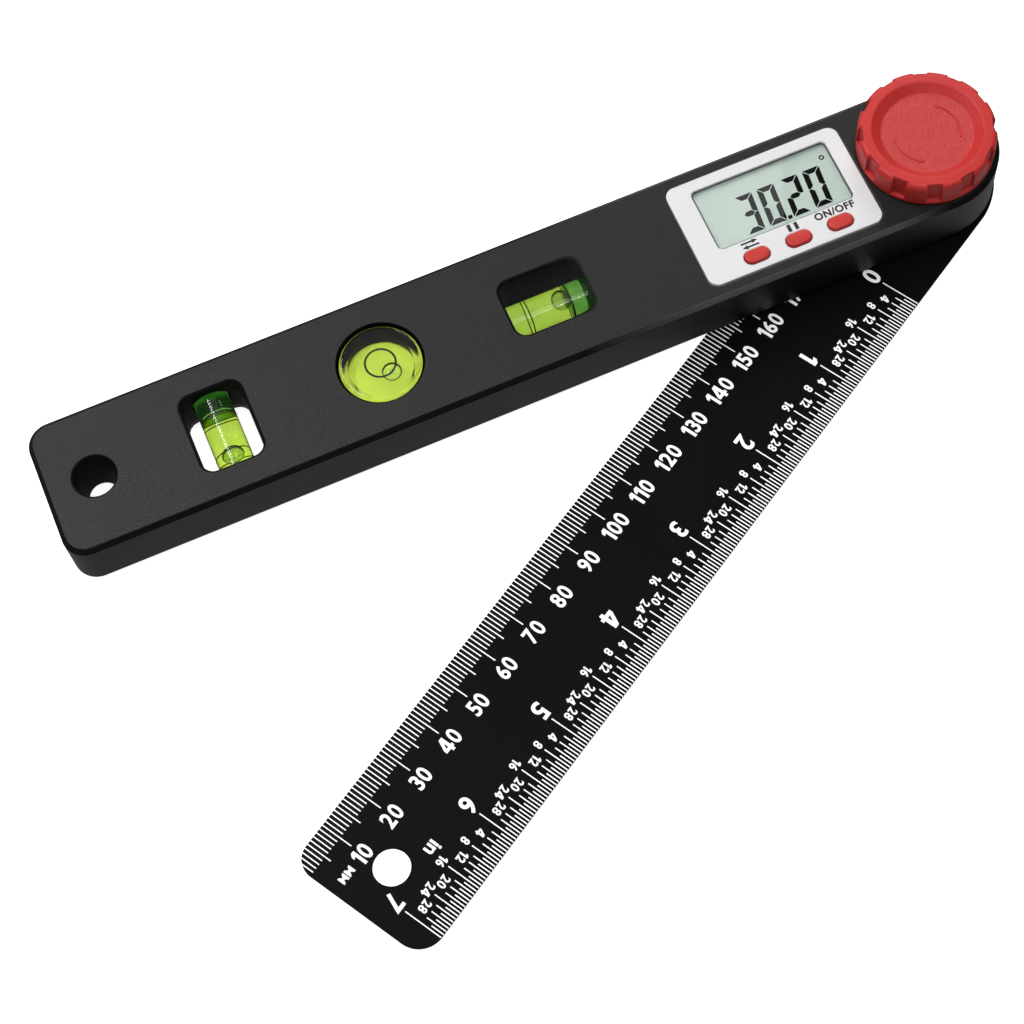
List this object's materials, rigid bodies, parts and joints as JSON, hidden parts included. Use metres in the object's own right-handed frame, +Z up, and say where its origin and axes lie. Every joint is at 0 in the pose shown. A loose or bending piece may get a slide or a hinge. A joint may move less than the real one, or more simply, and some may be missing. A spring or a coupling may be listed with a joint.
{
  "type": "angle_finder",
  "caption": "Digital angle finder: a hollow beam with three spirit vials, a display and push buttons, and a ruler blade that swings under it about a knob-locked pivot.",
  "frame": {"origin": "On the pivot axis, in the plane of the ruler blade's underside, where the shaft's riveted end is flush with the blade", "axes": "+X along the beam from its free end to the pivot, +Z up out of the beam's display face, along the pivot axis, +Y completing the right-handed frame, away from the buttons"},
  "size_m": [0.2273, 0.1377, 0.0231],
  "materials": {
    "black_mould": "fine matt moulding texture",
    "black_plate": "satin black coating with white print",
    "silver_mould": "silver lacquer, satin gloss",
    "red_mould": "satin red moulding",
    "steel": "turned and plated",
    "brass": "turned",
    "clear": "clear polished acrylic",
    "lcd_glass": "smooth, grey-green",
    "green_plug": "translucent green",
    "pale_mould": "pale yellow-green",
    "board": "green lacquer over glass fibre",
    "grey_rubber": "soft, matt",
    "nylon": "natural white, smooth"
  },
  "bodies": {
    "beam": {"front_shell": "black_mould", "rear_cover": "black_mould", "display_bezel": "silver_mould", "cover_screw_1": "steel", "cover_screw_2": "steel", "cover_screw_3": "steel", "cover_screw_4": "steel", "cover_screw_5": "steel", "cover_screw_6": "steel", "board_screw_1": "steel", "board_screw_2": "steel", "board_screw_3": "steel", "coin_cell": "steel", "leaf_contact": "steel", "side_contact": "steel", "pivot_bush": "brass", "cross_vial_tube": "clear", "long_vial_tube": "clear", "round_vial_lens": "clear", "display_lens": "clear", "lcd_panel": "lcd_glass", "cross_vial_plug": "green_plug", "long_vial_plug": "green_plug", "round_vial_base": "pale_mould", "circuit_board": "board", "lcd_connector": "grey_rubber", "keypad_mat": "grey_rubber", "thrust_washer": "nylon", "friction_washer": "nylon"},
    "blade": {"ruler_blade": "black_plate", "pivot_shaft": "steel", "retaining_ring": "steel", "encoder_rotor": "board"},
    "knob": {"lock_knob": "red_mould", "knob_insert": "brass"},
    "mode_key": {"mode_button": "red_mould"},
    "hold_key": {"hold_button": "red_mould"},
    "power_key": {"power_button": "red_mould"},
    "lid": {"battery_lid": "black_mould"}
  },
  "joints": [
    {"name": "blade_swing", "type": "hinge", "parent": "beam", "child": "blade", "pos_m": [0, 0, 0.0006], "axis": [0, 0, 1], "continuous": true},
    {"name": "knob_turn", "type": "hinge", "parent": "blade", "child": "knob", "pos_m": [0, 0, 0.019], "axis": [0, 0, 1], "range_deg": [0, 180]},
    {"name": "mode_press", "type": "slide", "parent": "beam", "child": "mode_key", "axis": [0, 0, -1], "range_m": [0, 0.0006], "stiffness_N_per_m": 200, "springref_m": -0.0004},
    {"name": "hold_press", "type": "slide", "parent": "beam", "child": "hold_key", "axis": [0, 0, -1], "range_m": [0, 0.0006], "stiffness_N_per_m": 200, "springref_m": -0.0004},
    {"name": "power_press", "type": "slide", "parent": "beam", "child": "power_key", "axis": [0, 0, -1], "range_m": [0, 0.0006], "stiffness_N_per_m": 200, "springref_m": -0.0004},
    {"name": "lid_turn", "type": "hinge", "parent": "beam", "child": "lid", "pos_m": [-0.0373, 0, 0.0036], "axis": [0, 0, 1], "range_deg": [0, 40]}
  ]
}
